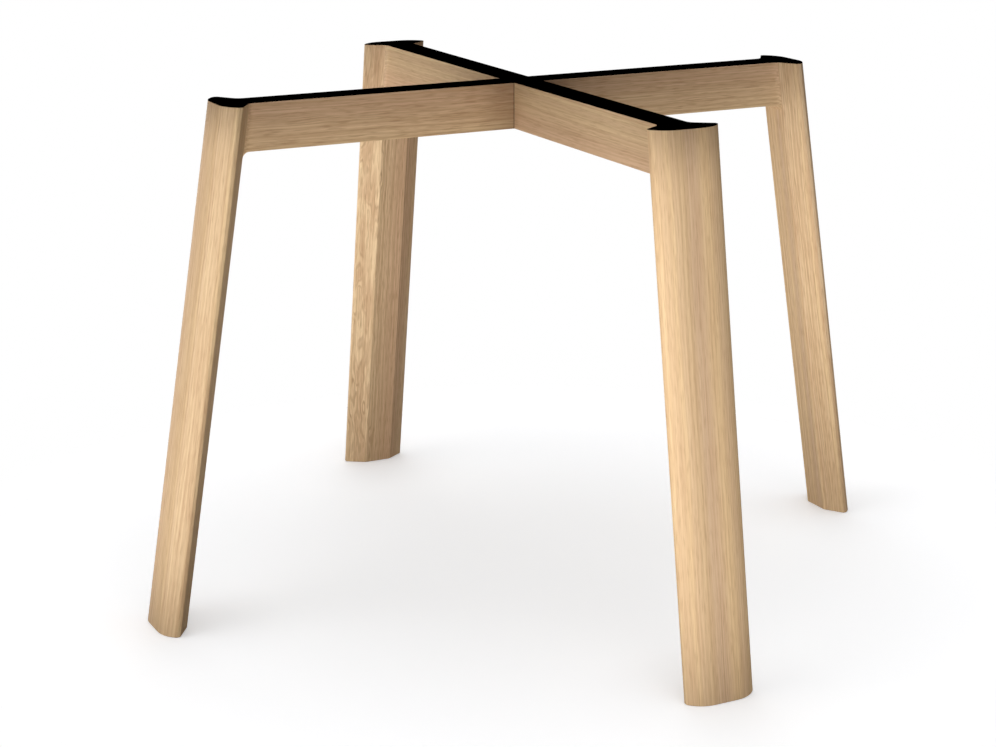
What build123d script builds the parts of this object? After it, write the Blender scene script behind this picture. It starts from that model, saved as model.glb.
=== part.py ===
from build123d import *
from math import radians, tan
import os

# A table frame of solid oak: two rails halved over each other into a cross, with a splayed leg
# at the end of each arm. Lengths are in millimetres. The origin is on the floor, below the
# crossing. The left and right arms lie along X, the front and back arms along Y.

# Whole frame
frame_height = 720.0
rail_reach = 415.0          # from the crossing to the legs' inner flats, level with the frame's top
leg_splay = 114.0           # how much further out the flats stand at the floor

# Rails
rail_thickness = 44.0
rail_height = 64.5
halving_gap = 0.05          # beside each cheek of the halved crossing

# Leg section: an inner flat as wide as the rail, two facets, a narrow flat at each tip, two
# broad shoulders and an outer flat
leg_width = 100.0           # across the tips
leg_depth = 41.0
facet_angle = 34.0          # between a facet and the inner flat
outer_flat_width = 34.0
shoulder_radius = 40.5
arris_radius = 2.0          # both edges of each tip
foot_chamfer = 1.0

# Hollow blends where a rail runs into its leg
side_blend_radius = 15.0
under_blend_radius = 10.0

# Loose tenons, two in each leg joint, one above the other
tenon_width = 28.0
tenon_thickness = 10.0
tenon_spacing = 28.0        # between the two tenons' middles
tenon_in_leg = 26.0
tenon_in_rail = 30.0
tenon_gap = 0.1             # for glue, all round a tenon
mortise_spare_depth = 1.0   # for glue, past each end of a tenon

# Bolt holes for the table top, one through each arm of the cross
fixing_radius = 340.0
fixing_hole_radius = 3.5
head_recess_radius = 8.0
head_recess_depth = 20.0

# Black liner on every top face
liner_thickness = 0.5

wood_top = frame_height - liner_thickness
rail_bottom = wood_top - rail_height
rail_middle = wood_top - rail_height / 2
half_rail = rail_thickness / 2
arm_turns = {"right": 0, "back": 90, "left": 180, "front": 270}


def flat_distance(height):
    """Distance from the frame's axis to a leg's inner flat, at a height above the floor."""
    return rail_reach + leg_splay * (1 - height / frame_height)


def leaning_prism(outline, bottom, top):
    """A plan outline drawn about the inner flat, carried up from bottom to top along the splay."""
    lean = flat_distance(top) - flat_distance(bottom)
    placed = Pos(flat_distance(bottom), 0, bottom) * outline
    return Part() + [Solid.extrude(face, (lean, 0, top - bottom)) for face in placed.faces()]


def leg_section():
    """The leg's outline in plan, with X outward from the inner flat."""
    facet_spread = leg_depth / tan(radians(facet_angle))
    wedge = Polygon(
        (0, -half_rail),
        (leg_depth, -half_rail - facet_spread),
        (leg_depth, half_rail + facet_spread),
        (0, half_rail),
        align=None,
    )
    shoulders = SlotCenterToCenter(outer_flat_width, 2 * shoulder_radius, rotation=90)
    board = Rectangle(2 * leg_depth, leg_width)
    outline = wedge & Pos(leg_depth - shoulder_radius, 0) * shoulders & board
    arrises = outline.vertices().group_by(lambda corner: abs(corner.Y))[-1]
    return fillet(arrises, arris_radius)


def joint_outline():
    """The leg's outline run together with its rail's, with a hollow blend in each corner."""
    stub = 2 * side_blend_radius
    outline = leg_section() + Pos(-stub / 2, 0) * Rectangle(stub, rail_thickness)
    corners = outline.vertices().sort_by(lambda corner: abs(corner.X) + abs(abs(corner.Y) - half_rail))
    return fillet(corners[:2], side_blend_radius)


def blend_outlines():
    """The slivers that the hollow blends add to the leg, and to the rail."""
    blends = joint_outline() - leg_section() - Pos(-side_blend_radius, 0) * Rectangle(
        4 * side_blend_radius, rail_thickness
    )
    outer_side = Pos(leg_depth / 2, 0) * Rectangle(leg_depth, 4 * rail_thickness)
    return blends & outer_side, blends - outer_side


def between_legs(top):
    """The side view of the space between two opposite legs, from the floor up to a height."""
    foot = flat_distance(0)
    head = flat_distance(top)
    return Polygon((-foot, 0), (foot, 0), (head, top), (-head, top), align=None)


def standing(side_view, thickness):
    """A side view drawn in X and Z, made as thick as asked about the middle plane."""
    return extrude(Plane.XZ * side_view, amount=thickness / 2, both=True)


def tenon_shape(gap, spare_depth):
    """One loose tenon, or its mortise: an oval bar through the inner flat, level with the rail."""
    oval = SlotOverall(tenon_width + 2 * gap, tenon_thickness + 2 * gap)
    inner_end = -tenon_in_rail - spare_depth
    bar = extrude(Plane.YZ.offset(inner_end) * oval, amount=tenon_in_rail + tenon_in_leg + 2 * spare_depth)
    return bar


def tenon_places():
    """Where the upper and lower tenon cross the inner flat of the right arm."""
    places = {}
    for name, side in (("upper", 1), ("lower", -1)):
        height = rail_middle + side * tenon_spacing / 2
        places[name] = Pos(flat_distance(height), 0, height)
    return places


def make_tenons():
    return {name: place * tenon_shape(0, 0) for name, place in tenon_places().items()}


def make_mortises():
    return [place * tenon_shape(tenon_gap, mortise_spare_depth) for place in tenon_places().values()]


def make_leg():
    """The right leg."""
    leg = leaning_prism(leg_section(), 0, wood_top)
    foot_edges = leg.faces().sort_by(Axis.Z)[0].edges()
    leg = chamfer(foot_edges, foot_chamfer)
    leg_blends = blend_outlines()[0]
    leg += leaning_prism(leg_blends, rail_bottom, wood_top)
    return leg - make_mortises()


def make_plain_rail():
    """A rail along X with leaning ends, side and under blends, mortises and bolt holes."""
    opening = between_legs(rail_bottom)
    upper_corners = opening.vertices().group_by(Axis.Y)[-1]
    side_view = between_legs(wood_top) - fillet(upper_corners, under_blend_radius)
    rail = standing(side_view, rail_thickness)
    rail_blends = leaning_prism(blend_outlines()[1], rail_bottom, wood_top)
    hole = Pos(fixing_radius, 0, rail_middle) * Cylinder(fixing_hole_radius, 2 * rail_height)
    recess_middle = rail_bottom + head_recess_depth / 2
    recess = Pos(fixing_radius, 0, recess_middle) * Cylinder(head_recess_radius, head_recess_depth)
    for turn in (0, 180):
        rail += Rot(0, 0, turn) * rail_blends
        for cut in make_mortises() + [hole, recess]:
            rail -= Rot(0, 0, turn) * cut
    return rail


def make_halved_rail(housing_side):
    """A rail with its housing cut at the crossing: 1 in the upper half, -1 in the lower half."""
    housing_width = rail_thickness + 2 * halving_gap
    housing = Pos(0, 0, rail_middle + housing_side * rail_height / 2) * Box(
        housing_width, 2 * rail_thickness, rail_height
    )
    return make_plain_rail() - housing


def make_liner():
    """The right arm's liner strip: the leg's and rail's outline, mitred at the crossing."""
    strip = Polygon(
        (0, 0),
        (half_rail, -half_rail),
        (rail_reach, -half_rail),
        (rail_reach, half_rail),
        (half_rail, half_rail),
        align=None,
    )
    outline = strip + Pos(flat_distance(wood_top), 0) * joint_outline()
    outline -= Pos(fixing_radius, 0) * Circle(fixing_hole_radius)
    return extrude(Pos(0, 0, wood_top) * outline, amount=liner_thickness)


def save(piece, name):
    export_step(piece, f"parts/{name}.step")


os.makedirs("parts", exist_ok=True)

right_leg = make_leg()
right_liner = make_liner()
right_tenons = make_tenons()

for arm, turn in arm_turns.items():
    save(Rot(0, 0, turn) * right_leg, f"{arm}_leg")
    save(Rot(0, 0, turn) * right_liner, f"{arm}_liner")
    for place, tenon in right_tenons.items():
        save(Rot(0, 0, turn) * tenon, f"{arm}_{place}_tenon")

save(make_halved_rail(1), "left_right_rail")
save(Rot(0, 0, 90) * make_halved_rail(-1), "front_back_rail")
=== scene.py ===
from math import atan, cos, radians, sin

import bmesh
import bpy
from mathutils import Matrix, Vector

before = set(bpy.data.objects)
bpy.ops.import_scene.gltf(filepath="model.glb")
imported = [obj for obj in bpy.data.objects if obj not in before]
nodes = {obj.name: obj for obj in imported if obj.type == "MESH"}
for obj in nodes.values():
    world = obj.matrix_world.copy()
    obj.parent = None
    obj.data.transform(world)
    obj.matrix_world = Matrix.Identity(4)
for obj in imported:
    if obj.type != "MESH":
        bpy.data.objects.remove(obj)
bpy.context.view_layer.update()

# Legs
# Four legs of solid European oak, each planed to one section all the way down and splayed
# outward. Their grain runs down the leg. They are sanded and wiped with clear matt oil, so
# the wood keeps its own pale colour and only a soft sheen.

ARM_TURNS = {"right": 0, "back": 90, "left": 180, "front": 270}
FRAME_HEIGHT = 0.72
LEG_SPLAY = 0.114
INNER_FLAT_REACH = 0.415

PALE_OAK = "#F3D7AA"
YELLOW_OAK = "#E7C99A"
PINK_OAK = "#DDBFA0"
ROSY_OAK = "#DAB18F"
LATE_WOOD = "#C59D75"
RING_BROWN = "#A87F5C"
PORE_BROWN = "#A0714A"

# The grain's waves in millimetres, across and along the board. Pores are really 0.3 mm wide,
# and are drawn about 1.5 mm wide so that they show.
GRAIN = {
    "wander": {"across": 83.3, "along": 417, "detail": 1.0, "roughness": 0.5},
    "ripple": {"across": 22.2, "along": 83.3, "detail": 1.0, "roughness": 0.5},
    "whirls": {"across": 12.5, "along": 58.8, "detail": 1.0, "roughness": 0.5},
    "ring fade": {"across": 25, "along": 142.9, "detail": 2.0, "roughness": 0.5},
    "streaks": {"across": 2.5, "along": 142.9, "detail": 3.0, "roughness": 0.6},
    "pores": {"across": 1.429, "along": 22.2, "detail": 1.0, "roughness": 0.5},
}

# How far apart the bands of colour and the yearly rings lie, in millimetres.
GROWTH = {
    "bands": {"apart": 15.38, "detail": 1.5, "roughness": 0.5},
    "rings": {"apart": 3.571, "detail": 2.0, "roughness": 0.55},
}

# In metres: how far the wander and the ripple move a ring, how far from the pith the whirls
# reach, and the half width, spacing and reach of the darkest rings.
WANDER_DEPTH = 0.012
RIPPLE_DEPTH = 0.0032
WHIRLS_FULL = 0.075
WHIRLS_GONE = 0.083
DARK_RING_CORE = 0.0002
DARK_RING_EDGE = 0.0008
DARK_RING_SPACING = 0.003
DARK_RINGS_FULL = 0.001
DARK_RINGS_GONE = 0.009

# The zone of the second colour keeps its strength out to ZONE_CORE times its width from its
# middle, and is gone at ZONE_EDGE times.
ZONE_CORE = 0.4
ZONE_EDGE = 1.6
ZONE_STRENGTH = 0.7


def linear(hex_colour):
    channels = [int(hex_colour[at:at + 2], 16) / 255 for at in (1, 3, 5)]
    return [c / 12.92 if c < 0.04045 else ((c + 0.055) / 1.055) ** 2.4 for c in channels] + [1.0]


def add(tree, kind, settings=None, links=None):
    """Adds one node. Settings name its inputs or its properties, and links its inputs' sources."""
    node = tree.nodes.new(kind)
    for name, value in (settings or {}).items():
        if isinstance(name, str) and hasattr(node, name):
            setattr(node, name, value)
        else:
            node.inputs[name].default_value = value
    for name, source in (links or {}).items():
        tree.links.new(source, node.inputs[name])
    return node


def ring_distance(tree, where, pith, noises, whirl_depth):
    """A point's distance from the pith, bent as the rings are."""
    from_pith = add(tree, "ShaderNodeVectorMath", {"operation": "SUBTRACT", 1: (*pith, 0)}, {0: where})
    across = add(
        tree, "ShaderNodeVectorMath", {"operation": "MULTIPLY", 1: (1, 1, 0)}, {0: from_pith.outputs[0]}
    )
    radius = add(tree, "ShaderNodeVectorMath", {"operation": "LENGTH"}, {0: across.outputs[0]})
    wandered = add(
        tree,
        "ShaderNodeMath",
        {"operation": "MULTIPLY_ADD", 1: WANDER_DEPTH},
        {0: noises["wander"], 2: radius.outputs["Value"]},
    )
    rippled = add(
        tree,
        "ShaderNodeMath",
        {"operation": "MULTIPLY_ADD", 1: RIPPLE_DEPTH},
        {0: noises["ripple"], 2: wandered.outputs[0]},
    )
    either_way = add(tree, "ShaderNodeMath", {"operation": "SUBTRACT", 1: 0.5}, {0: noises["whirls"]})
    depth = add(
        tree,
        "ShaderNodeMapRange",
        {"From Min": WHIRLS_FULL, "From Max": WHIRLS_GONE, "To Min": whirl_depth, "To Max": 0.0},
        {0: radius.outputs["Value"]},
    )
    whirled = add(
        tree,
        "ShaderNodeMath",
        {"operation": "MULTIPLY_ADD"},
        {0: either_way.outputs[0], 1: depth.outputs[0], 2: rippled.outputs[0]},
    )
    return whirled.outputs[0]


def zone_share(tree, ring, zone_at, zone_width):
    """How much of the second colour the board's one broad zone has."""
    from_zone = add(tree, "ShaderNodeMath", {"operation": "SUBTRACT", 1: zone_at}, {0: ring})
    off_zone = add(tree, "ShaderNodeMath", {"operation": "ABSOLUTE"}, {0: from_zone.outputs[0]})
    in_zone = add(
        tree,
        "ShaderNodeMapRange",
        {
            "From Min": ZONE_CORE * zone_width,
            "From Max": ZONE_EDGE * zone_width,
            "To Min": ZONE_STRENGTH,
            "To Max": 0.0,
        },
        {0: off_zone.outputs[0]},
    )
    return in_zone.outputs[0]


def dark_lines(tree, ring, dark_at):
    """The darkest rings, as thin lines that grow fainter away from dark_at."""
    from_dark = add(tree, "ShaderNodeMath", {"operation": "SUBTRACT", 1: dark_at}, {0: ring})
    off_dark = add(tree, "ShaderNodeMath", {"operation": "ABSOLUTE"}, {0: from_dark.outputs[0]})
    off_line = add(
        tree, "ShaderNodeMath", {"operation": "PINGPONG", 1: DARK_RING_SPACING / 2}, {0: off_dark.outputs[0]}
    )
    on_line = add(
        tree,
        "ShaderNodeMapRange",
        {"From Min": DARK_RING_CORE, "From Max": DARK_RING_EDGE, "To Min": 1.0, "To Max": 0.0},
        {0: off_line.outputs[0]},
    )
    near_dark = add(
        tree,
        "ShaderNodeMapRange",
        {"From Min": DARK_RINGS_FULL, "From Max": DARK_RINGS_GONE, "To Min": 1.0, "To Max": 0.0},
        {0: off_dark.outputs[0]},
    )
    lines = add(
        tree, "ShaderNodeMath", {"operation": "MULTIPLY"}, {0: on_line.outputs[0], 1: near_dark.outputs[0]}
    )
    return lines.outputs[0]


def planed_wood(
    name,
    origin,
    turn,
    pith,
    colours,
    zone_at,
    zone_width,
    dark_at,
    figure,
    whirl_depth=0.0,
    tint="#FFFFFF",
):
    """The wood of one board. Origin and turn place the board, with its grain along its own Z.

    Pith is where the tree's middle lay, across the board, and it sets which faces show straight
    lines and which show arches. Colours are the board's main colour and its zone's, zone_at and
    dark_at the distances from the pith of that zone and of the darkest rings. Figure is the
    strength of the grain, whirl_depth bends the inner rings into whirls, and tint is laid over
    all the colours, because no two boards are quite alike.
    """
    material = bpy.data.materials.new(name)
    material.use_nodes = True
    tree = material.node_tree
    tree.nodes.clear()
    place = add(tree, "ShaderNodeTexCoord")
    board = add(
        tree,
        "ShaderNodeMapping",
        {"name": "board", "vector_type": "TEXTURE", "Location": origin, "Rotation": turn},
        {"Vector": place.outputs["Object"]},
    )
    where = board.outputs[0]

    noises = {}
    for pattern, wave in GRAIN.items():
        across = 1000 / wave["across"]
        along = 1000 / wave["along"]
        stretched = add(
            tree, "ShaderNodeVectorMath", {"operation": "MULTIPLY", 1: (across, across, along)}, {0: where}
        )
        noise = add(
            tree,
            "ShaderNodeTexNoise",
            {"Scale": 1.0, "Detail": wave["detail"], "Roughness": wave["roughness"]},
            {"Vector": stretched.outputs[0]},
        )
        noises[pattern] = noise.outputs["Fac"]
    ring = ring_distance(tree, where, pith, noises, whirl_depth)
    for pattern, wave in GROWTH.items():
        noise = add(
            tree,
            "ShaderNodeTexNoise",
            {
                "noise_dimensions": "1D",
                "Scale": 1000 / wave["apart"],
                "Detail": wave["detail"],
                "Roughness": wave["roughness"],
            },
            {"W": ring},
        )
        noises[pattern] = noise.outputs["Fac"]

    # Each pattern starts where its noise passes low and has its full strength from high on.
    cover = {}
    for pattern, low, high, strength in (
        ("bands", 0.36, 0.64, 0.4),
        ("rings", 0.4, 0.72, figure),
        ("ring fade", 0.38, 0.6, figure),
        ("streaks", 0.4, 0.72, 1.1 * figure),
        ("pores", 0.5, 0.75, 0.7 * figure),
    ):
        share = add(
            tree,
            "ShaderNodeMapRange",
            {"From Min": low, "From Max": high, "To Max": strength},
            {0: noises[pattern]},
        )
        cover[pattern] = share.outputs[0]

    # The main colour has one zone of the second colour, and fainter bands of it elsewhere.
    second_share = add(
        tree,
        "ShaderNodeMath",
        {"operation": "MAXIMUM"},
        {0: zone_share(tree, ring, zone_at, zone_width), 1: cover["bands"]},
    )
    main_colour, second_colour = colours
    ground = add(
        tree,
        "ShaderNodeMix",
        {"data_type": "RGBA", 6: linear(main_colour), 7: linear(second_colour)},
        {0: second_share.outputs[0]},
    )

    # Over it lie the late wood of the yearly rings, the darkest rings, which come and go along
    # the board, streaks along the grain, and open pores.
    dark_rings = add(
        tree,
        "ShaderNodeMath",
        {"operation": "MULTIPLY"},
        {0: dark_lines(tree, ring, dark_at), 1: cover["ring fade"]},
    )
    colour = ground.outputs[2]
    for share, layer_colour in (
        (cover["rings"], LATE_WOOD),
        (dark_rings.outputs[0], RING_BROWN),
        (cover["streaks"], LATE_WOOD),
        (cover["pores"], PORE_BROWN),
    ):
        layer = add(
            tree, "ShaderNodeMix", {"data_type": "RGBA", 7: linear(layer_colour)}, {0: share, 6: colour}
        )
        colour = layer.outputs[2]
    tinted = add(
        tree,
        "ShaderNodeMix",
        {"data_type": "RGBA", "blend_type": "MULTIPLY", 0: 1.0, 7: linear(tint)},
        {6: colour},
    )

    # Pores are shallow hollows, and the streaks make the soft sheen a little uneven.
    relief = add(
        tree,
        "ShaderNodeBump",
        {"Strength": 0.2, "Distance": 0.0003, "invert": True},
        {"Height": noises["pores"]},
    )
    sheen = add(tree, "ShaderNodeMapRange", {"To Min": 0.52, "To Max": 0.7}, {0: noises["streaks"]})
    surface = add(
        tree,
        "ShaderNodeBsdfPrincipled",
        {"name": "surface", "IOR": 1.45},
        {"Base Color": tinted.outputs[2], "Roughness": sheen.outputs[0], "Normal": relief.outputs[0]},
    )
    add(tree, "ShaderNodeOutputMaterial", {}, {"Surface": surface.outputs[0]})
    return material


def dress(node_name, material):
    node = nodes[node_name]
    node.data.materials.clear()
    node.data.materials.append(material)


leg_wood = {
    "right": {
        "pith": (0.05, -0.16),
        "colours": (YELLOW_OAK, PINK_OAK),
        "zone_at": 0.164,
        "zone_width": 0.006,
        "dark_at": 0.145,
        "figure": 0.65,
    },
    "back": {
        "pith": (-0.05, 0.075),
        "colours": (PALE_OAK, ROSY_OAK),
        "zone_at": 0.118,
        "zone_width": 0.024,
        "dark_at": 0.081,
        "figure": 0.72,
        "whirl_depth": 0.018,
    },
    "left": {
        "pith": (0.03, 0.17),
        "colours": (YELLOW_OAK, PINK_OAK),
        "zone_at": 0.205,
        "zone_width": 0.028,
        "dark_at": 0.160,
        "figure": 0.6,
        "tint": "#EFEEEC",
    },
    "front": {
        "pith": (0.06, -0.198),
        "colours": (YELLOW_OAK, PINK_OAK),
        "zone_at": 0.2035,
        "zone_width": 0.010,
        "dark_at": 0.205,
        "figure": 0.45,
        "tint": "#FFFCFA",
    },
}
lean = -atan(LEG_SPLAY / FRAME_HEIGHT)
foot_reach = INNER_FLAT_REACH + LEG_SPLAY
for arm, turn in ARM_TURNS.items():
    foot = (foot_reach * cos(radians(turn)), foot_reach * sin(radians(turn)), 0)
    oak = planed_wood(f"oiled oak {arm} leg", foot, (0, lean, radians(turn)), **leg_wood[arm])
    dress(f"{arm}_leg", oak)

# Rails
# Two oak rails, halved over each other where they cross. Their grain runs along them, so it
# meets the legs' upright grain at the joints.

RAIL_MIDDLE = 0.687
rail_wood = {
    "left_right_rail": {
        "pith": (0.09, 0.03),
        "colours": (YELLOW_OAK, ROSY_OAK),
        "zone_at": 0.134,
        "zone_width": 0.024,
        "dark_at": 0.115,
        "figure": 0.7,
    },
    "front_back_rail": {
        "pith": (0.12, -0.05),
        "colours": (YELLOW_OAK, ROSY_OAK),
        "zone_at": 0.128,
        "zone_width": 0.016,
        "dark_at": 0.140,
        "figure": 0.45,
        "tint": "#F7F7F8",
    },
}

# Shade painted into the rails' colour round the crossing: how dark it is on each rail, and where,
# in metres from the rail's middle.
painted_corner_shade = {"left_right_rail": 0.33, "front_back_rail": 0.04}
CORNER_AT = 0.022
CORNER_SHADE_END = 0.08
JOINT_SHADOW_START = 0.0236
JOINT_SHADOW_END = 0.0244
JOINT_SHADOW_STRENGTH = 1.8


def paint_crossing_shade(material, shade_at_corner):
    """Paints shade into the rails' colour towards the corners of the crossing, deepest as a painted shadow
    line along the joint.
    """
    tree = material.node_tree
    board_axes = add(tree, "ShaderNodeSeparateXYZ", {}, {0: tree.nodes["board"].outputs[0]})
    off_middle = add(tree, "ShaderNodeMath", {"operation": "ABSOLUTE"}, {0: board_axes.outputs["Z"]})
    soft_painted_shade = add(
        tree,
        "ShaderNodeMapRange",
        {
            "From Min": CORNER_AT,
            "From Max": CORNER_SHADE_END,
            "To Min": shade_at_corner,
            "To Max": 0.0,
        },
        {0: off_middle.outputs[0]},
    )
    joint_shadow_line = add(
        tree,
        "ShaderNodeMapRange",
        {
            "From Min": JOINT_SHADOW_START,
            "From Max": JOINT_SHADOW_END,
            "To Min": JOINT_SHADOW_STRENGTH * shade_at_corner,
            "To Max": 0.0,
        },
        {0: off_middle.outputs[0]},
    )
    painted_darkness = add(
        tree,
        "ShaderNodeMath",
        {"operation": "MAXIMUM"},
        {0: soft_painted_shade.outputs[0], 1: joint_shadow_line.outputs[0]},
    )
    wood_colour = tree.nodes["surface"].inputs["Base Color"]
    shaded = add(
        tree,
        "ShaderNodeMix",
        {"data_type": "RGBA", "blend_type": "MULTIPLY", 7: linear("#000000")},
        {0: painted_darkness.outputs[0], 6: wood_colour.links[0].from_socket},
    )
    tree.links.new(shaded.outputs[2], wood_colour)


for name, turn in (("left_right_rail", 0), ("front_back_rail", 90)):
    along_rail = (0, radians(90), radians(turn))
    oak = planed_wood(f"oiled oak {name}", (0, 0, RAIL_MIDDLE), along_rail, **rail_wood[name])
    # Shade painted into each rail's colour round the crossing, with a painted shadow line along the joint.
    paint_crossing_shade(oak, painted_corner_shade[name])
    dress(name, oak)

# Tenons
# Loose tenons of steamed beech, glued into both halves of each leg joint, out of sight. Beech
# is pinker and plainer than oak, and is left bare for the glue.

beech = planed_wood(
    "bare beech",
    (0, 0, 0),
    (0, 0, 0),
    pith=(0.05, 0.05),
    colours=(PINK_OAK, ROSY_OAK),
    zone_at=0.4,
    zone_width=0.02,
    dark_at=0.3,
    figure=0.3,
    tint="#F8E6D8",
)
for arm in ARM_TURNS:
    for place in ("upper", "lower"):
        dress(f"{arm}_{place}_tenon", beech)

# Liners
# Thin die-cut strips, glued along the top faces of the rails and legs and mitred at the crossing.
# They take the table top. Their near-black is painted shade, the deep shade under the table top,
# and they show no gloss.

black = bpy.data.materials.new("matt near black")
black.use_nodes = True
black_surface = black.node_tree.nodes["Principled BSDF"]
# The strips' near-black colour is painted shade, the shade under the table top.
black_surface.inputs["Base Color"].default_value = linear("#020202")
black_surface.inputs["Roughness"].default_value = 0.9
black_surface.inputs["Specular IOR Level"].default_value = 0.02
for arm in ARM_TURNS:
    dress(f"{arm}_liner", black)

# Floor
# A plain white studio floor. It keeps the frame's soft shadow, and close to the feet a painted
# shadow deepens it, where the glow that whitens the floor for the camera is dimmed by how near the
# frame is. It fades out at its rim, into the white surround.

FLOOR_RADIUS = 0.95
FLOOR_FADE_START = 0.65
FOOT_SHADOW_REACH = 0.15
FLOOR_GLOW = 0.615
GLOW_UNDER_FEET = 0.23
ROUND_SIDES = 96
floor_mesh = bmesh.new()
bmesh.ops.create_circle(floor_mesh, cap_ends=True, segments=ROUND_SIDES, radius=FLOOR_RADIUS)
floor_data = bpy.data.meshes.new("floor")
floor_mesh.to_mesh(floor_data)
floor_mesh.free()
floor = bpy.data.objects.new("floor", floor_data)
bpy.context.scene.collection.objects.link(floor)
floor_material = bpy.data.materials.new("white floor")
floor_material.use_nodes = True
tree = floor_material.node_tree
tree.nodes.clear()
seen = add(tree, "ShaderNodeLightPath")
tone = add(
    tree,
    "ShaderNodeMix",
    {"data_type": "RGBA", 6: linear("#B4B2B0"), 7: linear("#DFE0E3")},
    {0: seen.outputs["Is Camera Ray"]},
)
matt = add(tree, "ShaderNodeBsdfDiffuse", {}, {"Color": tone.outputs[2]})
# Painted shadow: the floor's glow for the camera dims where the frame is near, beside the feet.
nearness = add(tree, "ShaderNodeAmbientOcclusion", {"samples": 16, "Distance": FOOT_SHADOW_REACH})
painted_foot_shadow = add(
    tree,
    "ShaderNodeMapRange",
    {"To Min": GLOW_UNDER_FEET, "To Max": FLOOR_GLOW},
    {0: nearness.outputs["AO"]},
)
lift_strength = add(
    tree,
    "ShaderNodeMath",
    {"operation": "MULTIPLY"},
    {0: seen.outputs["Is Camera Ray"], 1: painted_foot_shadow.outputs[0]},
)
lift = add(tree, "ShaderNodeEmission", {}, {"Strength": lift_strength.outputs[0]})
lifted = add(tree, "ShaderNodeAddShader", {}, {0: matt.outputs[0], 1: lift.outputs[0]})
place = add(tree, "ShaderNodeTexCoord")
from_middle = add(tree, "ShaderNodeVectorMath", {"operation": "LENGTH"}, {0: place.outputs["Object"]})
rim = add(
    tree,
    "ShaderNodeMapRange",
    {"interpolation_type": "SMOOTHSTEP", "From Min": FLOOR_FADE_START, "From Max": FLOOR_RADIUS},
    {"Value": from_middle.outputs["Value"]},
)
clear = add(tree, "ShaderNodeBsdfTransparent")
faded = add(tree, "ShaderNodeMixShader", {}, {0: rim.outputs[0], 1: lifted.outputs[0], 2: clear.outputs[0]})
add(tree, "ShaderNodeOutputMaterial", {}, {"Surface": faded.outputs[0]})
floor_data.materials.append(floor_material)

# Shade
# A round black board laid over the frame, out of the camera's sight. It shades the rails and
# the heads of the legs from above.

SHADE_RADIUS = 0.6
SHADE_HEIGHT = 0.7215
shade_mesh = bmesh.new()
bmesh.ops.create_circle(shade_mesh, cap_ends=True, segments=ROUND_SIDES, radius=SHADE_RADIUS)
bmesh.ops.translate(shade_mesh, verts=shade_mesh.verts, vec=(0, 0, SHADE_HEIGHT))
shade_data = bpy.data.meshes.new("shade")
shade_mesh.to_mesh(shade_data)
shade_mesh.free()
shade = bpy.data.objects.new("shade", shade_data)
bpy.context.scene.collection.objects.link(shade)
shade_data.materials.append(black)
shade.visible_camera = False

# Light
# Five broad lamps: the strongest at the left, two weaker ones in front and behind, and the
# weakest above and below. The camera sees the surround white, and it lights the frame faintly.

lamps = {
    "left lamp": {"azimuth": 178, "rise": -4, "energy": 2.9},
    "front lamp": {"azimuth": 254, "rise": 0, "energy": 1.95},
    "low lamp": {"azimuth": 285, "rise": -35, "energy": 0.38},
    "back lamp": {"azimuth": 70, "rise": 6, "energy": 1.9},
    "high lamp": {"azimuth": 0, "rise": 90, "energy": 0.85},
}
LAMP_SPREAD = 60
SURROUND_STRENGTH = 0.12
for name, lamp in lamps.items():
    lamp_data = bpy.data.lights.new(name, "SUN")
    lamp_data.energy = lamp["energy"]
    lamp_data.angle = radians(LAMP_SPREAD)
    lamp_object = bpy.data.objects.new(name, lamp_data)
    lamp_object.rotation_euler = (radians(90 - lamp["rise"]), 0, radians(90 + lamp["azimuth"]))
    bpy.context.scene.collection.objects.link(lamp_object)

world = bpy.data.worlds.new("surround")
world.use_nodes = True
bpy.context.scene.world = world
tree = world.node_tree
tree.nodes.clear()
seen = add(tree, "ShaderNodeLightPath")
strength = add(
    tree,
    "ShaderNodeMapRange",
    {"To Min": SURROUND_STRENGTH, "To Max": 1.0},
    {0: seen.outputs["Is Camera Ray"]},
)
sky = add(tree, "ShaderNodeBackground", {"Color": (1, 1, 1, 1)}, {"Strength": strength.outputs[0]})
add(tree, "ShaderNodeOutputWorld", {}, {"Surface": sky.outputs[0]})

# Camera
# The photograph's own view, worked out from the frame's straight edges. Its picture is
# 996 pixels wide and 747 high, and the lens axis meets it a little off its middle.

IMAGE_WIDTH = 996
IMAGE_HEIGHT = 747
FOCAL_PIXELS = 2230.9
AXIS_X_PIXEL = 518.3
AXIS_Y_PIXEL = 312.1
CAMERA_TURN = radians(-27.242)
CAMERA_RISE = radians(14.520)
CAMERA_DISTANCE = 3.2284
TARGET_ACROSS = -0.0041
TARGET_HEIGHT = 0.3812
SENSOR_WIDTH = 36.0

back = Vector(
    (
        sin(CAMERA_TURN) * cos(CAMERA_RISE),
        -cos(CAMERA_TURN) * cos(CAMERA_RISE),
        sin(CAMERA_RISE),
    )
)
target = Vector((TARGET_ACROSS * cos(CAMERA_TURN), TARGET_ACROSS * sin(CAMERA_TURN), TARGET_HEIGHT))
camera_data = bpy.data.cameras.new("camera")
camera_data.sensor_width = SENSOR_WIDTH
camera_data.lens = SENSOR_WIDTH * FOCAL_PIXELS / IMAGE_WIDTH
camera_data.shift_x = (IMAGE_WIDTH / 2 - AXIS_X_PIXEL) / IMAGE_WIDTH
camera_data.shift_y = (AXIS_Y_PIXEL - IMAGE_HEIGHT / 2) / IMAGE_WIDTH
camera = bpy.data.objects.new("camera", camera_data)
camera.location = target + back * CAMERA_DISTANCE
camera.rotation_euler = (radians(90) - CAMERA_RISE, 0, CAMERA_TURN)
bpy.context.scene.collection.objects.link(camera)
bpy.context.scene.camera = camera
bpy.context.scene.view_settings.view_transform = "Standard"
